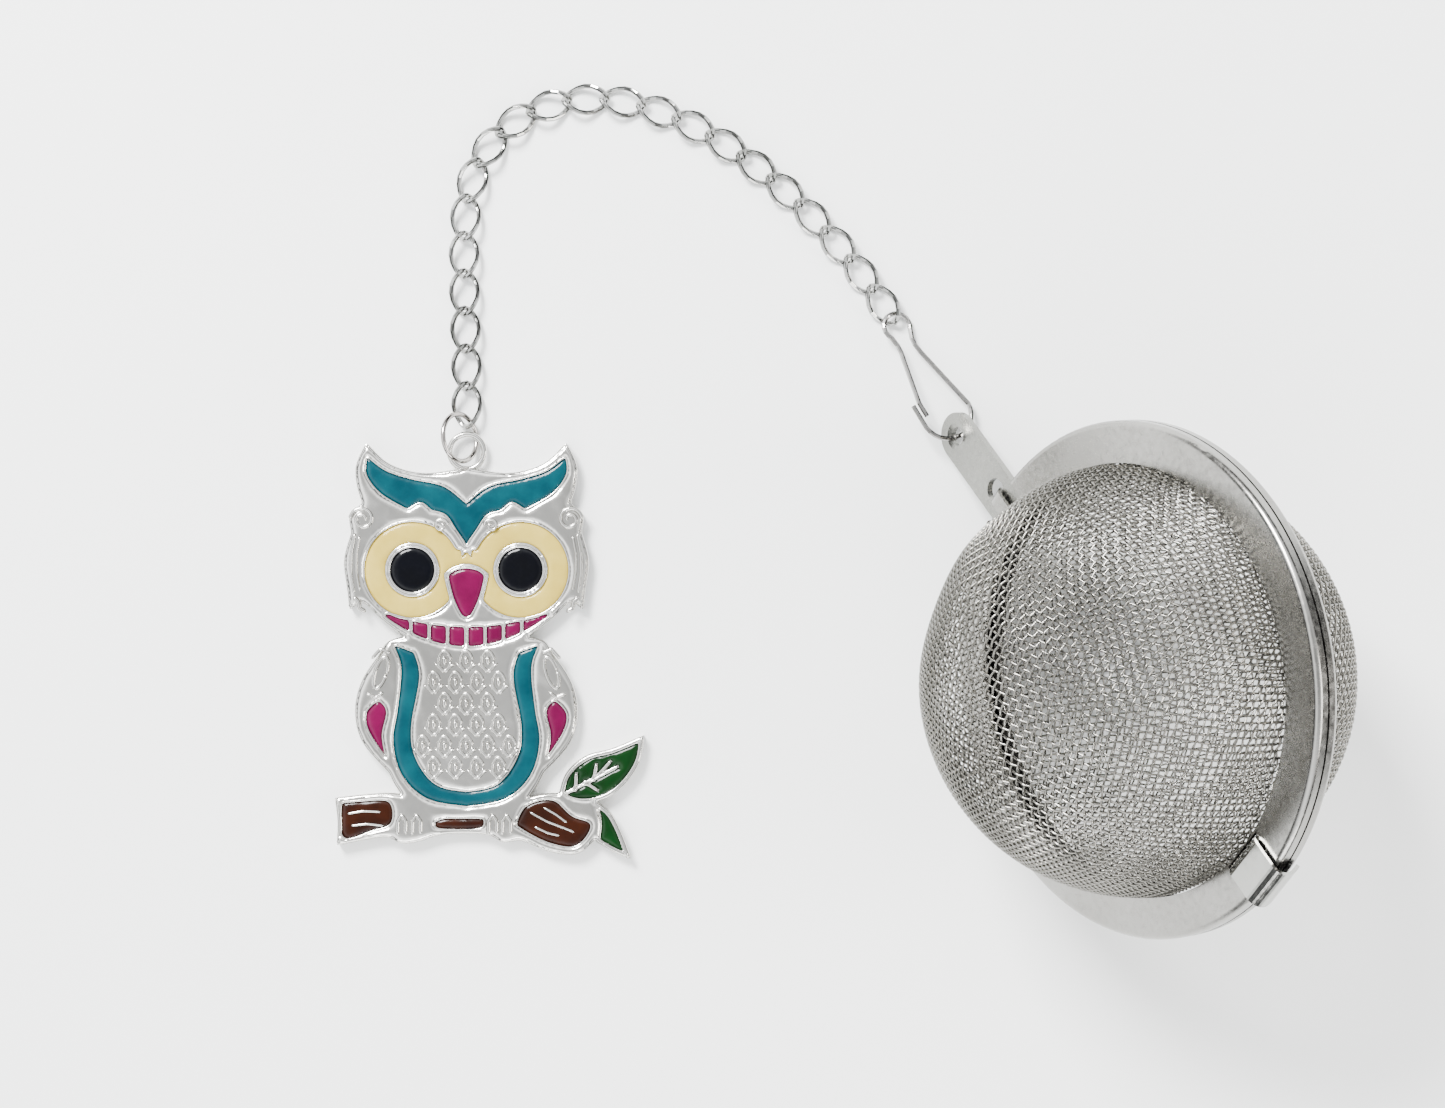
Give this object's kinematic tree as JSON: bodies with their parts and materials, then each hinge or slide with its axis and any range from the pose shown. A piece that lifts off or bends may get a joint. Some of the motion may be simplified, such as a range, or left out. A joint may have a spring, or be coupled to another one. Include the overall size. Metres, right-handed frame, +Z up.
{
  "type": "tea infuser",
  "caption": "Hinged woven-mesh ball with flat rims and a clasp, on a curb chain with a snap hook and an enamelled owl charm, for steeping loose tea in a cup.",
  "frame": {"origin": "on the table, under the middle of the outline of the whole object as it lies", "axes": "+Z up from the table; +X from the charm towards the ball; +Y from the charm towards the top of the chain's loop"},
  "size_m": [0.1066, 0.0907, 0.0444],
  "materials": {
    "rim_steel": "satin stainless sheet, rounded edges brighter",
    "mesh_wire": "fine plain-weave stainless wire",
    "strap_steel": "satin stainless strip",
    "clasp_steel": "bright rolled stainless spring strip",
    "hook_wire": "polished stainless wire",
    "chain_steel": "polished stainless wire",
    "ring_wire": "bright plated wire",
    "plating": "bright silver plating on cast zinc alloy, worn a little on the edges",
    "enamel_teal": "glossy poured enamel",
    "enamel_cream": "glossy poured enamel",
    "enamel_magenta": "glossy poured enamel",
    "enamel_black": "glossy poured enamel",
    "enamel_brown": "glossy poured enamel",
    "enamel_green": "glossy poured enamel"
  },
  "bodies": {
    "back_half": {"back_rim": "rim_steel", "back_mesh": "mesh_wire", "handle_strap": "strap_steel"},
    "front_half": {"front_rim": "rim_steel", "front_mesh": "mesh_wire"},
    "clasp": {"clasp": "clasp_steel"},
    "snap_hook": {"snap_hook": "hook_wire"},
    "chain_link_01": {"chain_link_01": "chain_steel"},
    "chain_link_02": {"chain_link_02": "chain_steel"},
    "chain_link_03": {"chain_link_03": "chain_steel"},
    "chain_link_04": {"chain_link_04": "chain_steel"},
    "chain_link_05": {"chain_link_05": "chain_steel"},
    "chain_link_06": {"chain_link_06": "chain_steel"},
    "chain_link_07": {"chain_link_07": "chain_steel"},
    "chain_link_08": {"chain_link_08": "chain_steel"},
    "chain_link_09": {"chain_link_09": "chain_steel"},
    "chain_link_10": {"chain_link_10": "chain_steel"},
    "chain_link_11": {"chain_link_11": "chain_steel"},
    "chain_link_12": {"chain_link_12": "chain_steel"},
    "chain_link_13": {"chain_link_13": "chain_steel"},
    "chain_link_14": {"chain_link_14": "chain_steel"},
    "chain_link_15": {"chain_link_15": "chain_steel"},
    "chain_link_16": {"chain_link_16": "chain_steel"},
    "chain_link_17": {"chain_link_17": "chain_steel"},
    "chain_link_18": {"chain_link_18": "chain_steel"},
    "chain_link_19": {"chain_link_19": "chain_steel"},
    "chain_link_20": {"chain_link_20": "chain_steel"},
    "chain_link_21": {"chain_link_21": "chain_steel"},
    "jump_ring": {"jump_ring": "ring_wire"},
    "charm": {"charm_plate": "plating", "enamel_teal": "enamel_teal", "enamel_cream": "enamel_cream", "enamel_magenta": "enamel_magenta", "enamel_black": "enamel_black", "enamel_brown": "enamel_brown", "enamel_green": "enamel_green"}
  },
  "joints": [
    {"name": "front_half_hinge", "type": "hinge", "parent": "back_half", "child": "front_half", "pos_m": [0.01911, -0.00033, 0.00781], "axis": [-0.3722, -0.707, -0.6014], "range_deg": [0, 100]},
    {"name": "clasp_hinge", "type": "hinge", "parent": "front_half", "child": "clasp", "pos_m": [0.04045, -0.03589, 0.03558], "axis": [-0.3815, -0.6921, -0.6128], "range_deg": [0, 60]},
    {"name": "hook_swivel", "type": "hinge", "parent": "back_half", "child": "snap_hook", "pos_m": [0.01464, 0.00671, 0.0023], "axis": [0, 0, 1], "range_deg": [-30, 15]},
    {"name": "link_01_swivel", "type": "hinge", "parent": "snap_hook", "child": "chain_link_01", "pos_m": [0.00757, 0.01947, 0.00089], "axis": [0, 0, 1], "range_deg": [-40, 30]},
    {"name": "link_02_swivel", "type": "hinge", "parent": "chain_link_01", "child": "chain_link_02", "pos_m": [0.00528, 0.02287, 0.00089], "axis": [0, 0, -1], "range_deg": [-32, 38]},
    {"name": "link_03_swivel", "type": "hinge", "parent": "chain_link_02", "child": "chain_link_03", "pos_m": [0.00281, 0.02614, 0.00089], "axis": [0, 0, 1], "range_deg": [-39, 31]},
    {"name": "link_04_swivel", "type": "hinge", "parent": "chain_link_03", "child": "chain_link_04", "pos_m": [0.00012, 0.02924, 0.00089], "axis": [0, 0, -1], "range_deg": [-32, 38]},
    {"name": "link_05_swivel", "type": "hinge", "parent": "chain_link_04", "child": "chain_link_05", "pos_m": [-0.00273, 0.03218, 0.00089], "axis": [0, 0, 1], "range_deg": [-39, 31]},
    {"name": "link_06_swivel", "type": "hinge", "parent": "chain_link_05", "child": "chain_link_06", "pos_m": [-0.00578, 0.03493, 0.00089], "axis": [0, 0, -1], "range_deg": [-31, 39]},
    {"name": "link_07_swivel", "type": "hinge", "parent": "chain_link_06", "child": "chain_link_07", "pos_m": [-0.00901, 0.03745, 0.00089], "axis": [0, 0, 1], "range_deg": [-40, 30]},
    {"name": "link_08_swivel", "type": "hinge", "parent": "chain_link_07", "child": "chain_link_08", "pos_m": [-0.01245, 0.03968, 0.00089], "axis": [0, 0, -1], "range_deg": [-29, 41]},
    {"name": "link_09_swivel", "type": "hinge", "parent": "chain_link_08", "child": "chain_link_09", "pos_m": [-0.0161, 0.04155, 0.00089], "axis": [0, 0, 1], "range_deg": [-42, 28]},
    {"name": "link_10_swivel", "type": "hinge", "parent": "chain_link_09", "child": "chain_link_10", "pos_m": [-0.01995, 0.04295, 0.00089], "axis": [0, 0, -1], "range_deg": [-25, 45]},
    {"name": "link_11_swivel", "type": "hinge", "parent": "chain_link_10", "child": "chain_link_11", "pos_m": [-0.02399, 0.04366, 0.00089], "axis": [0, 0, 1], "range_deg": [-48, 22]},
    {"name": "link_12_swivel", "type": "hinge", "parent": "chain_link_11", "child": "chain_link_12", "pos_m": [-0.02808, 0.04345, 0.00089], "axis": [0, 0, -1], "range_deg": [-21, 49]},
    {"name": "link_13_swivel", "type": "hinge", "parent": "chain_link_12", "child": "chain_link_13", "pos_m": [-0.03201, 0.04225, 0.00089], "axis": [0, 0, 1], "range_deg": [-52, 18]},
    {"name": "link_14_swivel", "type": "hinge", "parent": "chain_link_13", "child": "chain_link_14", "pos_m": [-0.0354, 0.03995, 0.00089], "axis": [0, 0, -1], "range_deg": [-15, 55]},
    {"name": "link_15_swivel", "type": "hinge", "parent": "chain_link_14", "child": "chain_link_15", "pos_m": [-0.03782, 0.03664, 0.00089], "axis": [0, 0, 1], "range_deg": [-54, 16]},
    {"name": "link_16_swivel", "type": "hinge", "parent": "chain_link_15", "child": "chain_link_16", "pos_m": [-0.03901, 0.03272, 0.00089], "axis": [0, 0, -1], "range_deg": [-22, 48]},
    {"name": "link_17_swivel", "type": "hinge", "parent": "chain_link_16", "child": "chain_link_17", "pos_m": [-0.0393, 0.02863, 0.00089], "axis": [0, 0, 1], "range_deg": [-39, 31]},
    {"name": "link_18_swivel", "type": "hinge", "parent": "chain_link_17", "child": "chain_link_18", "pos_m": [-0.0393, 0.02453, 0.00089], "axis": [0, 0, -1], "range_deg": [-34, 36]},
    {"name": "link_19_swivel", "type": "hinge", "parent": "chain_link_18", "child": "chain_link_19", "pos_m": [-0.03923, 0.02043, 0.00089], "axis": [0, 0, 1], "range_deg": [-36, 34]},
    {"name": "link_20_swivel", "type": "hinge", "parent": "chain_link_19", "child": "chain_link_20", "pos_m": [-0.03909, 0.01633, 0.00089], "axis": [0, 0, -1], "range_deg": [-36, 34]},
    {"name": "link_21_swivel", "type": "hinge", "parent": "chain_link_20", "child": "chain_link_21", "pos_m": [-0.03901, 0.01223, 0.00089], "axis": [0, 0, 1], "range_deg": [-34, 36]},
    {"name": "ring_swivel", "type": "hinge", "parent": "chain_link_21", "child": "jump_ring", "pos_m": [-0.03901, 0.00813, 0.00089], "axis": [0, 0, 1], "range_deg": [-10, 15]},
    {"name": "charm_lift", "type": "hinge", "parent": "jump_ring", "child": "charm", "pos_m": [-0.03901, 0.00657, 0.00197], "axis": [-1, 0, 0], "range_deg": [0, 30]}
  ]
}
